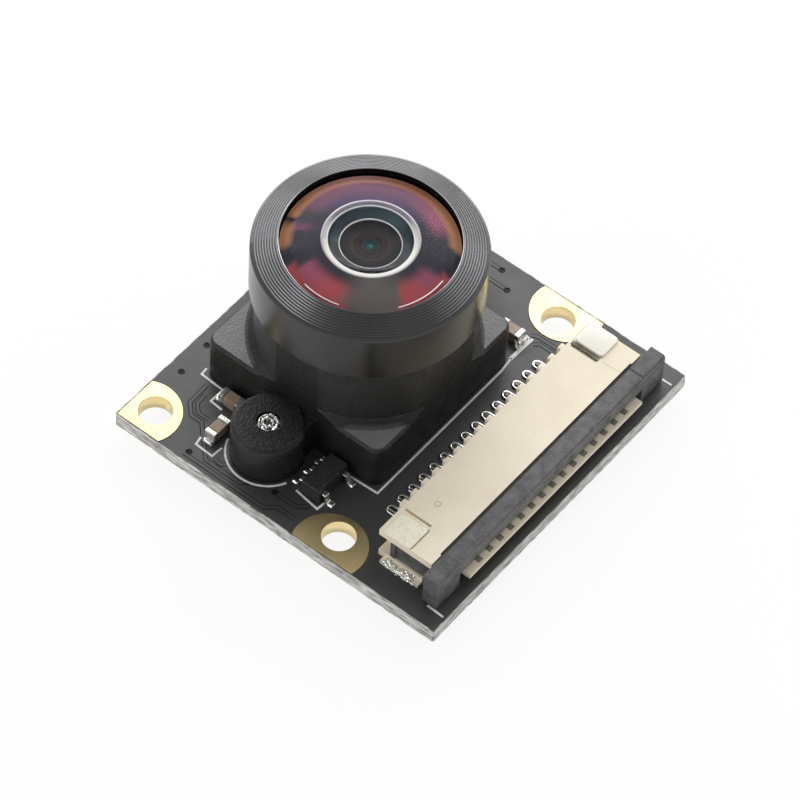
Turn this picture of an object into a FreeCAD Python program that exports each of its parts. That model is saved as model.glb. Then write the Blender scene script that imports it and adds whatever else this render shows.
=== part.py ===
import FreeCAD, Part
import math
import os

# A small camera module: circuit board, screwed-on lens holder, wide-angle M12 lens,
# flat-cable connector with a locking slider, and the chip parts around them.
# Units are millimetres. X runs along the connector edge, +Y points away from it,
# +Z is the way the lens looks. The origin is under the board's centre, level with
# the lowest faces, which are the heads of the two holder screws.

# Circuit board
board_width = 24.5
board_depth = 24.2
board_thickness = 1.0

# Mounting holes and their gold pads
mount_hole_diameter = 2.1
mount_hole_edge_margin = 1.75
mount_hole_connector_gap = 2.5
plating_thickness = 0.04
pad_radius = 2.35
pad_edge_margin = 0.15
corner_pad_shift = 0.5
side_pad_shift = 0.9

# Lens holder
holder_centre_y = 3.4
lens_axis_y = 3.05
base_width = 12.9
base_depth = 13.2
base_height = 3.35
base_corner_radius = 0.8
base_top_chamfer = 0.15
base_cavity_size = 10.4
base_cavity_height = 2.0
filter_shelf_thickness = 0.6
filter_window_size = 6.4
tube_outer_diameter = 13.3
tube_top_height = 7.9
tube_foot_chamfer = 0.45
tube_top_chamfer = 0.2
ear_spacing = 17.0
ear_radius = 2.25
ear_height = 3.0
ear_edge_chamfer = 0.25
ear_neck_width = 3.8

# Screws that hold the holder from beneath
screw_diameter = 1.5
screw_head_diameter = 3.2
screw_head_height = 0.8
screw_head_edge_chamfer = 0.25
screw_board_clearance = 0.15
screw_tip_depth = 0.25
recess_length = 1.8
recess_width = 0.35
recess_depth = 0.45

# Optics under the lens
filter_size = 7.6
filter_thickness = 0.3
sensor_width = 6.0
sensor_depth = 5.6
sensor_body_height = 0.45
sensor_glass_height = 0.4
sensor_glass_margin = 0.25

# Lens barrel: the M12 thread is a plain cylinder at its nominal size
thread_diameter = 12.0
thread_clearance = 0.05
barrel_rear_height = 3.7
barrel_flange_height = 9.85
barrel_bore_radius = 3.1
barrel_rear_bore_radius = 2.9
focus_gap = 0.3

# Front cap, which screws over the barrel's flange
cap_diameter = 14.0
cap_wall = 0.7
cap_pocket_step = 0.42
cap_lip_width = 0.53
cap_height = 3.45
cap_face_rise = 0.6
cap_lip_thickness = 0.53
cap_edge_chamfer = 0.15

# Glass and the rings between it
glass_clearance = 0.03
front_glass_shoulder = 0.75
front_glass_dome_height = 1.0
front_glass_hollow_radius = 2.5
front_glass_hollow_depth = 1.7
front_glass_hollow_floor_radius = 1.3
front_glass_bevel = 0.42
element_gap = 0.02
element_bevel = 0.15
second_rim = 0.9
second_drop = 0.15
front_spacer_rim = 0.65
front_spacer_hole_radius = 1.83
third_rim = 0.9
stop_thickness = 0.15
stop_hole_radius = 0.7
fourth_rim = 1.2
rear_rim = 1.35
retainer_thickness = 0.5
retainer_hole_radius = 1.9

# Flat-cable connector: housing
contact_count = 15
contact_pitch = 1.0
housing_rear_y = -6.15
housing_front_y = -10.0
housing_height = 2.5
housing_top_plate = 0.5
housing_plate_width = 20.0
housing_core_width = 18.3
housing_flange_height = 0.5
housing_flange_width = 19.9
housing_flange_front_y = -9.4
cable_slot_width = 16.1
cable_slot_floor = 0.95
cable_slot_height = 1.0
cable_slot_end_y = -7.3
lip_width = 16.6
lip_front_y = -11.58
lip_underside = 0.7
lip_slot_width = 0.42
lip_slot_margin = 0.2
relief_slot_x = 7.9
relief_slot_width = 0.16
relief_slot_rear_y = -6.4
relief_slot_length = 1.9
relief_slot_depth = 0.35

# Flat-cable connector: locking slider
slider_width = 21.8
slider_thickness = 1.08
slider_gap = 0.12
slider_bar_underside = 1.38
slider_board_gap = 0.12
slider_end_width = 2.15
slider_end_step = 0.06
slider_edge_chamfer = 0.1
slider_fit = 0.1
tongue_underside = 1.45
tongue_length = 2.4
tongue_taper = 0.3
arm_inner_gap = 0.12
arm_width = 0.6
arm_length = 3.0
arm_latch = 0.12
arm_latch_length = 0.35

# Flat-cable connector: contacts and hold-downs
contact_thickness = 0.3
contact_tail_tip_y = -4.65
contact_tail_length = 0.9
contact_tail_height = 0.18
contact_entry_underside = 0.72
contact_beam_height = 0.2
contact_nose_recess = 0.24
contact_bump_height = 0.22
contact_bump_y = -8.8
contact_bump_length = 1.0
hold_down_sheet = 0.2
hold_down_top_width = 1.3
hold_down_top_length = 1.8
hold_down_inner_x = 8.3
hold_down_rear_y = -6.55
hold_down_proud = 0.05
hold_down_web_inset = 0.3
hold_down_foot_reach = 10.4
hold_down_foot_length = 2.9

# Chip parts
chip_large = (1.6, 0.8, 0.8)
chip_small = (1.0, 0.5, 0.45)
chip_terminal_share = 0.24
chip_body_inset = 0.03
capacitor_places = (
    (-7.2, 7.2, 90, chip_large),
    (-9.35, 6.5, 0, chip_large),
    (7.75, -2.2, 90, chip_large),
    (7.4, 10.7, 0, chip_small),
)
resistor_places = (
    (1.4, 10.85, 0, chip_small),
    (1.4, 11.55, 0, chip_small),
)

# Voltage regulators in five-lead packages
regulator_places = ((-8.05, -0.55), (8.1, 7.3))
regulator_width = 2.9
regulator_depth = 1.5
regulator_height = 1.05
regulator_standoff = 0.08
regulator_draft = 0.1
regulator_lead_pitch = 0.95
regulator_lead_width = 0.38
regulator_lead_reach = 0.55
regulator_lead_foot = 0.3
regulator_lead_sheet = 0.13
regulator_lead_exit = 0.55

# Clock oscillator
oscillator_place = (4.6, 11.1)
oscillator_width = 2.0
oscillator_depth = 1.6
oscillator_height = 0.7
oscillator_corner = 0.2

# Heights that the sub-parts share
board_bottom = screw_head_height
board_top = board_bottom + board_thickness
mount_hole_x = board_width / 2 - mount_hole_edge_margin
mount_hole_far_y = board_depth / 2 - mount_hole_edge_margin
mount_hole_near_y = housing_rear_y + mount_hole_connector_gap
shelf_top = board_top + base_cavity_height + filter_shelf_thickness
tube_top = board_top + tube_top_height
cap_bottom = tube_top + focus_gap
cap_top = cap_bottom + cap_height
front_glass_seat = board_top + barrel_flange_height
front_glass_rim_top = cap_top + cap_face_rise - cap_lip_thickness
second_top = front_glass_seat - second_drop
screw_hole_radius = screw_diameter / 2

# Radii of the lens's front, from the cap inwards
barrel_flange_radius = cap_diameter / 2 - cap_wall
cap_pocket_radius = barrel_flange_radius - cap_pocket_step
cap_opening_radius = cap_pocket_radius - cap_lip_width
front_glass_radius = cap_pocket_radius - glass_clearance
front_glass_dome_radius = front_glass_radius - front_glass_shoulder


def box(x0, x1, y0, y1, z0, z1):
    """Box between two corners."""
    return Part.makeBox(x1 - x0, y1 - y0, z1 - z0, FreeCAD.Vector(x0, y0, z0))


def cylinder(x, y, z0, z1, radius):
    """Upright cylinder."""
    return Part.makeCylinder(radius, z1 - z0, FreeCAD.Vector(x, y, z0))


def union(shapes):
    """Fuse shapes into one and merge the faces that lie in one plane."""
    return shapes[0].multiFuse(shapes[1:]).removeSplitter()


def turned(profile, x, y):
    """Turn a closed profile of (radius, height) points about an upright axis.

    A middle item of three numbers (radius, height, True) is the mid-point of an arc.
    """
    edges = []
    points = [FreeCAD.Vector(item[0], 0, item[1]) for item in profile]
    on_arc = [len(item) == 3 for item in profile]
    count = len(profile)
    index = 0
    while index < count:
        following = (index + 1) % count
        if on_arc[following]:
            end = (index + 2) % count
            edges.append(Part.Arc(points[index], points[following], points[end]).toShape())
            index += 2
        else:
            edges.append(Part.LineSegment(points[index], points[following]).toShape())
            index += 1
    face = Part.Face(Part.Wire(edges))
    solid = face.revolve(FreeCAD.Vector(0, 0, 0), FreeCAD.Vector(0, 0, 1), 360)
    solid.translate(FreeCAD.Vector(x, y, 0))
    return solid


def blade(outline, x0, x1):
    """Extrude a (y, z) outline along X."""
    points = [FreeCAD.Vector(x0, y, z) for y, z in outline]
    face = Part.Face(Part.makePolygon(points + [points[0]]))
    return face.extrude(FreeCAD.Vector(x1 - x0, 0, 0))


def sheet(outline, y0, y1):
    """Extrude an (x, z) outline along Y."""
    points = [FreeCAD.Vector(x, y0, z) for x, z in outline]
    face = Part.Face(Part.makePolygon(points + [points[0]]))
    return face.extrude(FreeCAD.Vector(0, y1 - y0, 0))


def mirrored_x(shape):
    """Mirror in the plane X = 0."""
    return shape.mirror(FreeCAD.Vector(0, 0, 0), FreeCAD.Vector(1, 0, 0))


def holder_block(z0, z1):
    """Block over the holder's base outline, with rounded upright edges."""
    half_x = base_width / 2
    half_y = base_depth / 2
    block = box(-half_x, half_x, holder_centre_y - half_y, holder_centre_y + half_y, z0, z1)
    upright = [edge for edge in block.Edges if abs(edge.tangentAt(edge.FirstParameter).z) > 0.99]
    return block.makeFillet(base_corner_radius, upright)


def mount_hole_places():
    """Centres of the four mounting holes, each with the shift of its pad's circle."""
    places = []
    for side in (-1, 1):
        places.append((side * mount_hole_x, mount_hole_far_y, side * corner_pad_shift, corner_pad_shift))
        places.append((side * mount_hole_x, mount_hole_near_y, side * side_pad_shift, 0))
    return places


def ear_places():
    """Centres of the holder's two screw ears."""
    return [(side * ear_spacing / 2, holder_centre_y) for side in (-1, 1)]


def circuit_board():
    """Board with its plated mounting holes and the two holes for the holder's screws."""
    board = box(-board_width / 2, board_width / 2, -board_depth / 2, board_depth / 2,
                board_bottom, board_top)
    cutters = []
    for x, y, shift_x, shift_y in mount_hole_places():
        radius = mount_hole_diameter / 2 + plating_thickness
        cutters.append(cylinder(x, y, board_bottom, board_top, radius))
    for x, y in ear_places():
        radius = screw_hole_radius + screw_board_clearance
        cutters.append(cylinder(x, y, board_bottom, board_top, radius))
    return board.cut(Part.makeCompound(cutters))


def mount_pads():
    """Gold pads on both faces, joined by the plating down each mounting hole."""
    reach_x = board_width / 2 - pad_edge_margin
    reach_y = board_depth / 2 - pad_edge_margin
    pads = []
    for x, y, shift_x, shift_y in mount_hole_places():
        low = board_bottom - plating_thickness
        high = board_top + plating_thickness
        discs = []
        for z0 in (low, board_top):
            disc = cylinder(x + shift_x, y + shift_y, z0, z0 + plating_thickness, pad_radius)
            field = box(-reach_x, reach_x, -reach_y, reach_y, z0, z0 + plating_thickness)
            discs.append(disc.common(field))
        liner = cylinder(x, y, low, high, mount_hole_diameter / 2 + plating_thickness)
        pad = union([liner] + discs)
        pads.append(pad.cut(cylinder(x, y, low, high, mount_hole_diameter / 2)))
    return Part.makeCompound(pads)


def holder_ear(x):
    """Round screw boss with a chamfered top edge, and the neck that joins it to the base."""
    top = board_top + ear_height
    boss = turned([(0, board_top), (ear_radius, board_top), (ear_radius, top - ear_edge_chamfer),
                   (ear_radius - ear_edge_chamfer, top), (0, top)], x, holder_centre_y)
    half = ear_neck_width / 2
    near = abs(x)
    inner = base_width / 2 - base_corner_radius
    neck = box(inner, near, holder_centre_y - half, holder_centre_y + half,
               board_top, top - ear_edge_chamfer)
    return union([boss, neck if x > 0 else mirrored_x(neck)])


def lens_holder():
    """Moulded holder: base, two screw ears, threaded tube on the lens axis, filter shelf."""
    base_top = board_top + base_height
    base = holder_block(board_top, base_top)
    rim = [edge for edge in base.Edges if min(v.Z for v in edge.Vertexes) > base_top - 1e-6]
    base = base.makeChamfer(base_top_chamfer, rim)
    tube_radius = tube_outer_diameter / 2
    foot = tube_foot_chamfer
    tube = turned([(0, board_top + base_cavity_height), (tube_radius + foot, board_top + base_cavity_height),
                   (tube_radius + foot, base_top), (tube_radius, base_top + foot),
                   (tube_radius, tube_top - tube_top_chamfer),
                   (tube_radius - tube_top_chamfer, tube_top), (0, tube_top)], 0, lens_axis_y)
    tube = tube.common(holder_block(board_top, tube_top))
    body = union([base, tube] + [holder_ear(x) for x, y in ear_places()])
    half = base_cavity_size / 2
    window = filter_window_size / 2
    cutters = [
        box(-half, half, lens_axis_y - half, lens_axis_y + half,
            board_top, board_top + base_cavity_height),
        box(-window, window, lens_axis_y - window, lens_axis_y + window,
            board_top, shelf_top),
        cylinder(0, lens_axis_y, shelf_top, tube_top, thread_diameter / 2),
    ]
    for x, y in ear_places():
        cutters.append(cylinder(x, y, board_top, board_top + ear_height, screw_hole_radius))
    return body.cut(Part.makeCompound(cutters))


def holder_screw(x, y):
    """Pan-head screw from beneath, with its tip just under the top of the ear."""
    tip = board_top + ear_height - screw_tip_depth
    shank = screw_hole_radius
    head = screw_head_diameter / 2
    edge = screw_head_edge_chamfer
    screw = turned([(0, 0), (head - edge, 0), (head, edge),
                    (head, board_bottom), (shank, board_bottom), (shank, tip), (0, tip)], x, y)
    long = recess_length / 2
    wide = recess_width / 2
    cross = box(x - long, x + long, y - wide, y + wide, 0, recess_depth).fuse(
        box(x - wide, x + wide, y - long, y + long, 0, recess_depth))
    return screw.cut(cross)


def holder_screws():
    """Both holder screws."""
    return Part.makeCompound([holder_screw(x, y) for x, y in ear_places()])


def infrared_filter():
    """Square of coated glass glued on the holder's shelf."""
    half = filter_size / 2
    return box(-half, half, lens_axis_y - half, lens_axis_y + half,
               shelf_top, shelf_top + filter_thickness)


def image_sensor():
    """Sensor package soldered to the board."""
    return box(-sensor_width / 2, sensor_width / 2, lens_axis_y - sensor_depth / 2,
               lens_axis_y + sensor_depth / 2, board_top, board_top + sensor_body_height)


def sensor_glass():
    """Cover glass bonded on the sensor."""
    half_x = sensor_width / 2 - sensor_glass_margin
    half_y = sensor_depth / 2 - sensor_glass_margin
    z0 = board_top + sensor_body_height
    return box(-half_x, half_x, lens_axis_y - half_y, lens_axis_y + half_y,
               z0, z0 + sensor_glass_height)


def lens_barrel():
    """Turned barrel: threaded body, wider front flange, stepped bore for the glass."""
    rear = board_top + barrel_rear_height
    thread = thread_diameter / 2 - thread_clearance
    seat = front_glass_seat
    ledge = rear_element_bottom() - element_gap
    return turned([(barrel_rear_bore_radius, rear), (thread, rear), (thread, cap_bottom),
                   (barrel_flange_radius, cap_bottom), (barrel_flange_radius, seat),
                   (barrel_bore_radius, seat), (barrel_bore_radius, ledge),
                   (barrel_rear_bore_radius, ledge)], 0, lens_axis_y)


def front_cap():
    """Turned cap over the flange: a face that rises to the opening, whose lip holds the front glass."""
    outer = cap_diameter / 2
    inner = barrel_flange_radius
    lip = cap_opening_radius
    pocket = cap_pocket_radius
    under_lip = front_glass_rim_top + element_gap
    return turned([(inner, cap_bottom), (outer, cap_bottom), (outer, cap_top - cap_edge_chamfer),
                   (outer - cap_edge_chamfer, cap_top), (lip, cap_top + cap_face_rise), (lip, under_lip),
                   (pocket, under_lip), (pocket, front_glass_seat), (inner, front_glass_seat)],
                  0, lens_axis_y)


def bevelled_element(bottom, top):
    """Element for the barrel's inner bore with a ground bevel round its front face."""
    radius = barrel_bore_radius - glass_clearance
    return turned([(0, top), (radius - element_bevel, top), (radius, top - element_bevel),
                   (radius, bottom), (0, bottom)], 0, lens_axis_y)


def spacer(hole_radius, bottom, top):
    """Plain ring between two elements."""
    radius = barrel_bore_radius - glass_clearance
    return turned([(hole_radius, bottom), (radius, bottom), (radius, top), (hole_radius, top)],
                  0, lens_axis_y)


def second_bottom():
    return second_top - second_rim


def front_spacer_bottom():
    return second_bottom() - front_spacer_rim


def third_bottom():
    return front_spacer_bottom() - third_rim


def stop_bottom():
    return third_bottom() - stop_thickness


def fourth_bottom():
    return stop_bottom() - fourth_rim


def rear_element_bottom():
    return fourth_bottom() - rear_rim


def front_element():
    """Large front meniscus: spherical dome in front, deep hollow with a ground bevel behind."""
    bottom = front_glass_seat + element_gap
    top = front_glass_rim_top
    reach = front_glass_dome_radius
    rise = front_glass_dome_height
    sphere = (reach * reach + rise * rise) / (2 * rise)
    mid = top + rise - sphere + math.sqrt(sphere * sphere - reach * reach / 4)
    mouth = front_glass_hollow_radius
    return turned([(0, top + rise), (reach / 2, mid, True), (reach, top), (front_glass_radius, top),
                   (front_glass_radius, bottom), (mouth + front_glass_bevel, bottom),
                   (mouth, bottom + front_glass_bevel),
                   (front_glass_hollow_floor_radius, bottom + front_glass_hollow_depth),
                   (0, bottom + front_glass_hollow_depth)], 0, lens_axis_y)


def rear_retainer():
    """Ring that closes the barrel's rear."""
    bottom = board_top + barrel_rear_height
    top = bottom + retainer_thickness
    return turned([(retainer_hole_radius, bottom), (barrel_rear_bore_radius, bottom),
                   (barrel_rear_bore_radius, top), (retainer_hole_radius, top)], 0, lens_axis_y)


def contact_places():
    """X of each contact, centred on the board."""
    first = -contact_pitch * (contact_count - 1) / 2
    return [first + contact_pitch * index for index in range(contact_count)]


def contact(x):
    """Stamped contact: tail on the board, beam along the cable slot, raised spring bump."""
    tail_end = contact_tail_tip_y - contact_tail_length
    entry = board_top + contact_entry_underside
    beam_top = entry + contact_beam_height
    nose = lip_front_y + contact_nose_recess
    bump_top = board_top + cable_slot_floor + contact_bump_height
    half_bump = contact_bump_length / 2
    outline = [
        (contact_tail_tip_y, board_top),
        (contact_tail_tip_y, board_top + contact_tail_height),
        (tail_end + contact_tail_height, board_top + contact_tail_height),
        (tail_end, beam_top),
        (contact_bump_y + half_bump, beam_top),
        (contact_bump_y + half_bump / 2, bump_top),
        (contact_bump_y - half_bump / 2, bump_top),
        (contact_bump_y - half_bump, beam_top),
        (nose, beam_top),
        (nose, entry),
        (tail_end - contact_tail_height, entry),
        (tail_end, board_top),
    ]
    half = contact_thickness / 2
    return blade(outline, x - half, x + half)


def contacts():
    """All contacts of the connector."""
    return Part.makeCompound([contact(x) for x in contact_places()])


def hold_down():
    """Folded sheet at the +X end: plate in the housing's top, web down through it, soldered foot."""
    top = board_top + housing_height + hold_down_proud
    inner = hold_down_inner_x
    web = inner + hold_down_web_inset
    outline = [
        (inner, top), (inner + hold_down_top_width, top),
        (inner + hold_down_top_width, top - hold_down_sheet),
        (web + hold_down_sheet, top - hold_down_sheet),
        (web + hold_down_sheet, board_top + hold_down_sheet),
        (hold_down_foot_reach, board_top + hold_down_sheet), (hold_down_foot_reach, board_top),
        (web, board_top), (web, top - hold_down_sheet), (inner, top - hold_down_sheet),
    ]
    plate = sheet(outline, hold_down_rear_y - hold_down_top_length, hold_down_rear_y)
    foot = box(web, hold_down_foot_reach, hold_down_rear_y - hold_down_foot_length, hold_down_rear_y,
               board_top, board_top + hold_down_sheet)
    return union([plate, foot])


def hold_downs():
    """Both hold-downs."""
    return Part.makeCompound([hold_down(), mirrored_x(hold_down())])


def connector_housing():
    """Moulded housing: cable slot, slotted lip under it, side channels for the slider's arms."""
    z0 = board_top
    top = z0 + housing_height
    plate_half = housing_plate_width / 2
    core_half = housing_core_width / 2
    flange_half = housing_flange_width / 2
    lip_half = lip_width / 2
    slot_half = cable_slot_width / 2
    slot_floor = z0 + cable_slot_floor
    body = union([
        box(-plate_half, plate_half, housing_front_y, housing_rear_y, top - housing_top_plate, top),
        box(-core_half, core_half, housing_front_y, housing_rear_y, z0, top),
        box(-flange_half, flange_half, housing_flange_front_y, housing_rear_y,
            z0, z0 + housing_flange_height),
        box(-lip_half, lip_half, lip_front_y, housing_front_y, z0 + lip_underside, slot_floor),
    ])
    cutters = [box(-slot_half, slot_half, housing_front_y, cable_slot_end_y,
                   slot_floor, slot_floor + cable_slot_height)]
    half_way = lip_slot_width / 2
    for x in contact_places():
        cutters.append(box(x - half_way, x + half_way, lip_front_y + lip_slot_margin, housing_front_y,
                           z0 + lip_underside, slot_floor))
    half_slot = relief_slot_width / 2
    for x in (-relief_slot_x, relief_slot_x):
        cutters.append(box(x - half_slot, x + half_slot, relief_slot_rear_y - relief_slot_length,
                           relief_slot_rear_y, top - relief_slot_depth, top))
    body = body.cut(Part.makeCompound(cutters))
    return body.cut(Part.makeCompound([contacts(), hold_downs()]))


def slider_end():
    """End block of the slider with its arm along the housing's side channel, at the +X end."""
    rear = housing_front_y - slider_gap
    front = rear - slider_thickness
    outer = slider_width / 2
    arm_inner = housing_core_width / 2 + arm_inner_gap
    arm_outer = arm_inner + arm_width
    arm_bottom = board_top + housing_flange_height + slider_fit
    arm_top = board_top + housing_height - housing_top_plate - slider_fit
    arm_end = housing_front_y + arm_length
    block = box(outer - slider_end_width, outer, front, rear, board_top + slider_board_gap,
                board_top + slider_bar_underside)
    cap = box(outer - slider_end_width, outer, front + slider_edge_chamfer, rear,
              board_top + housing_height - slider_end_step, board_top + housing_height + slider_end_step)
    arm = box(arm_inner, arm_outer, rear, arm_end, arm_bottom, arm_top)
    latch = box(arm_outer, arm_outer + arm_latch, arm_end - arm_latch_length, arm_end,
                arm_bottom, arm_top)
    return union([block, cap, arm, latch])


def connector_slider():
    """Locking slider: front bar, tongue that presses the cable, end blocks and arms."""
    rear = housing_front_y - slider_gap
    front = rear - slider_thickness
    top = board_top + housing_height
    under = board_top + slider_bar_underside
    half = slider_width / 2
    bar = blade([(rear, under), (rear, top), (front + slider_edge_chamfer, top),
                 (front, top - slider_edge_chamfer), (front, under)], -half, half)
    tongue_half = cable_slot_width / 2 - slider_fit
    tongue_bottom = board_top + tongue_underside
    tongue_top = board_top + cable_slot_floor + cable_slot_height - slider_fit
    tip = housing_front_y + tongue_length
    middle = (tongue_bottom + tongue_top) / 2
    tongue = blade([(rear, tongue_bottom), (rear, tongue_top), (tip - tongue_taper, tongue_top),
                    (tip, middle), (tip - tongue_taper, tongue_bottom)], -tongue_half, tongue_half)
    return union([bar, tongue, slider_end(), mirrored_x(slider_end())])


def chip_pieces(place):
    """Body and two wrapped ends of one chip part, lying along X or Y."""
    x, y, turn, (length, width, height) = place
    end = length * chip_terminal_share
    inset = chip_body_inset
    body = box(-length / 2 + end, length / 2 - end, -width / 2 + inset, width / 2 - inset,
               inset, height - inset)
    left = box(-length / 2, -length / 2 + end, -width / 2, width / 2, 0, height)
    right = mirrored_x(left)
    pieces = [body, left, right]
    for piece in pieces:
        piece.rotate(FreeCAD.Vector(0, 0, 0), FreeCAD.Vector(0, 0, 1), turn)
        piece.translate(FreeCAD.Vector(x, y, board_top))
    return pieces


def chip_bodies(places):
    """Ceramic bodies of a list of chip parts."""
    return Part.makeCompound([chip_pieces(place)[0] for place in places])


def chip_terminals():
    """Tinned ends of every chip part."""
    ends = []
    for place in capacitor_places + resistor_places:
        ends.extend(chip_pieces(place)[1:])
    return Part.makeCompound(ends)


def regulator_body(x, y):
    """Moulded package, drafted above its parting line."""
    z0 = board_top + regulator_standoff
    z1 = board_top + regulator_height
    half_x = regulator_width / 2
    half_y = regulator_depth / 2
    outlines = []
    for z, inset in ((z0, 0), (z1, regulator_draft)):
        corners = [(-half_x + inset, -half_y + inset), (half_x - inset, -half_y + inset),
                   (half_x - inset, half_y - inset), (-half_x + inset, half_y - inset)]
        points = [FreeCAD.Vector(x + px, y + py, z) for px, py in corners]
        outlines.append(Part.makePolygon(points + [points[0]]))
    return Part.makeLoft(outlines, True)


def regulator_lead(x, y, side):
    """Gull-wing lead from one long side of the package."""
    start = y + side * (regulator_depth / 2 - regulator_draft)
    knee = y + side * (regulator_depth / 2 + regulator_lead_reach - regulator_lead_foot)
    toe = y + side * (regulator_depth / 2 + regulator_lead_reach)
    sheet_z = regulator_lead_sheet
    exit_z = board_top + regulator_lead_exit
    outline = [(start, exit_z), (start, exit_z + sheet_z), (knee, exit_z + sheet_z),
               (knee + side * sheet_z, board_top + sheet_z), (toe, board_top + sheet_z),
               (toe, board_top), (knee, board_top), (knee - side * sheet_z, exit_z)]
    half = regulator_lead_width / 2
    lead = blade(outline, x - half, x + half)
    return lead


def regulator_leads():
    """Five leads on each regulator, two on the connector's side and three behind."""
    leads = []
    for x, y in regulator_places:
        body = regulator_body(x, y)
        for column in (-1, 0, 1):
            leads.append(regulator_lead(x + column * regulator_lead_pitch, y, 1).cut(body))
        for column in (-1, 1):
            leads.append(regulator_lead(x + column * regulator_lead_pitch, y, -1).cut(body))
    return Part.makeCompound(leads)


def regulator_bodies():
    """Both regulator packages."""
    return Part.makeCompound([regulator_body(x, y) for x, y in regulator_places])


def oscillator():
    """Metal-lidded clock oscillator with rounded corners."""
    x, y = oscillator_place
    half_x = oscillator_width / 2
    half_y = oscillator_depth / 2
    can = box(x - half_x, x + half_x, y - half_y, y + half_y, board_top, board_top + oscillator_height)
    upright = [edge for edge in can.Edges if abs(edge.tangentAt(edge.FirstParameter).z) > 0.99]
    return can.makeFillet(oscillator_corner, upright)


def sub_parts():
    """Every node's name with its shape."""
    return {
        "circuit_board": circuit_board(),
        "mount_pads": mount_pads(),
        "lens_holder": lens_holder(),
        "holder_screws": holder_screws(),
        "infrared_filter": infrared_filter(),
        "image_sensor": image_sensor(),
        "sensor_glass": sensor_glass(),
        "lens_barrel": lens_barrel(),
        "front_cap": front_cap(),
        "front_element": front_element(),
        "second_element": bevelled_element(second_bottom(), second_top),
        "front_spacer": spacer(front_spacer_hole_radius, front_spacer_bottom(), second_bottom()),
        "third_element": bevelled_element(third_bottom(), front_spacer_bottom()),
        "aperture_stop": spacer(stop_hole_radius, stop_bottom(), third_bottom()),
        "fourth_element": bevelled_element(fourth_bottom(), stop_bottom()),
        "rear_element": bevelled_element(rear_element_bottom(), fourth_bottom()),
        "rear_retainer": rear_retainer(),
        "connector_housing": connector_housing(),
        "connector_slider": connector_slider(),
        "connector_contacts": contacts(),
        "connector_hold_downs": hold_downs(),
        "capacitor_bodies": chip_bodies(capacitor_places),
        "resistor_bodies": chip_bodies(resistor_places),
        "chip_terminals": chip_terminals(),
        "regulator_bodies": regulator_bodies(),
        "regulator_leads": regulator_leads(),
        "clock_oscillator": oscillator(),
    }


os.makedirs("parts", exist_ok=True)
for name, shape in sub_parts().items():
    shape.exportStep("parts/" + name + ".step")
    print(name, "solids", len(shape.Solids), "valid", shape.isValid(), "volume", round(shape.Volume, 3))
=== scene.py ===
# %% [markdown]
# # A small board camera, dressed for its portrait
# The solids come from the CAD model, and this script gives them their finish: black lacquer on the
# board, gold round its holes, grained plastic, turned metal, coated glass, tin and solder. Pieces too
# fine for the solids, such as printed lines, solder and grooves, are modelled here.

# %% Load the imported model
import bpy
import math
from mathutils import Matrix, Vector


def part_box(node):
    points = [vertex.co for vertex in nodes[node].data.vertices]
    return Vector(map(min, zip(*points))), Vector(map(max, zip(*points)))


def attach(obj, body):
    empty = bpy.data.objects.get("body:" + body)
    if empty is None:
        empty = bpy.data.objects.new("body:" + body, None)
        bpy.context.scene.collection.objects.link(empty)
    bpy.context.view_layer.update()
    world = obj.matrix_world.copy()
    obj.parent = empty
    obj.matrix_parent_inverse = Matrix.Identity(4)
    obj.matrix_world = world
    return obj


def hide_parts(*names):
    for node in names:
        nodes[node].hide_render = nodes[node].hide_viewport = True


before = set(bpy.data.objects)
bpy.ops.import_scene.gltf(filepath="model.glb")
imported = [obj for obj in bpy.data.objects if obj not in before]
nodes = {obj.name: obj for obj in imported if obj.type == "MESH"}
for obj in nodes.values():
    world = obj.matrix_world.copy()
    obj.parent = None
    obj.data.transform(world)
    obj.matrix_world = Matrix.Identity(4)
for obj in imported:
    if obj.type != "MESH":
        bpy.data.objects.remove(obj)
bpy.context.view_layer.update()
MM = 0.001
print("CAD nodes:", len(nodes))

# %% [markdown]
# The photograph looks down on the module from beyond one corner, through a long lens, so that the
# board's edges stay almost parallel. A camera is easiest to place from three things: where it stands,
# the way it looks and which way is up. The three directions make the columns of its rotation.

# %% Camera
looking = Vector((0.4923, 0.3480, -0.7978)).normalized()
upwards = Vector((0.6064, 0.5205, 0.6012)).normalized()
rightwards = looking.cross(upwards).normalized()
upwards = rightwards.cross(looking)
standing = (-0.13741, -0.09698, 0.22382)
lens_data = bpy.data.cameras.new("portrait_lens")
lens_data.lens = 210.42
lens_data.sensor_width = 36.0
lens_data.clip_start = 0.01
camera = bpy.data.objects.new("portrait_camera", lens_data)
bpy.context.scene.collection.objects.link(camera)
turn = Matrix((rightwards, upwards, -looking)).transposed()
camera.matrix_world = Matrix.Translation(standing) @ turn.to_4x4()
bpy.context.scene.camera = camera
print("camera looks along", tuple(round(value, 3) for value in looking))

# %% [markdown]
# Materials are built from a few kinds of node over and over, so each kind gets a short helper. A
# value can be a number, a colour or another node's socket, and the helper tells them apart.

# %% Node helpers
def feed(tree, socket, value):
    """Give a socket a number, a colour of three numbers, or a link from another socket."""
    if isinstance(value, tuple):
        socket.default_value = (*value, 1)
    elif isinstance(value, (int, float)):
        socket.default_value = value
    else:
        tree.links.new(value, socket)

def arithmetic(tree, operation, *values, clamp=False):
    """One step of arithmetic."""
    node = tree.nodes.new("ShaderNodeMath")
    node.operation = operation
    node.use_clamp = clamp
    for socket, value in zip(node.inputs, values):
        feed(tree, socket, value)
    return node.outputs[0]

def span(tree, value, low, high, start=0.0, end=1.0, curve="LINEAR"):
    """Map the span from low to high to the span from start to end."""
    node = tree.nodes.new("ShaderNodeMapRange")
    node.interpolation_type = curve
    sockets = (("Value", value), ("From Min", low), ("From Max", high), ("To Min", start), ("To Max", end))
    for title, number in sockets:
        feed(tree, node.inputs[title], number)
    return node.outputs[0]

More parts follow.
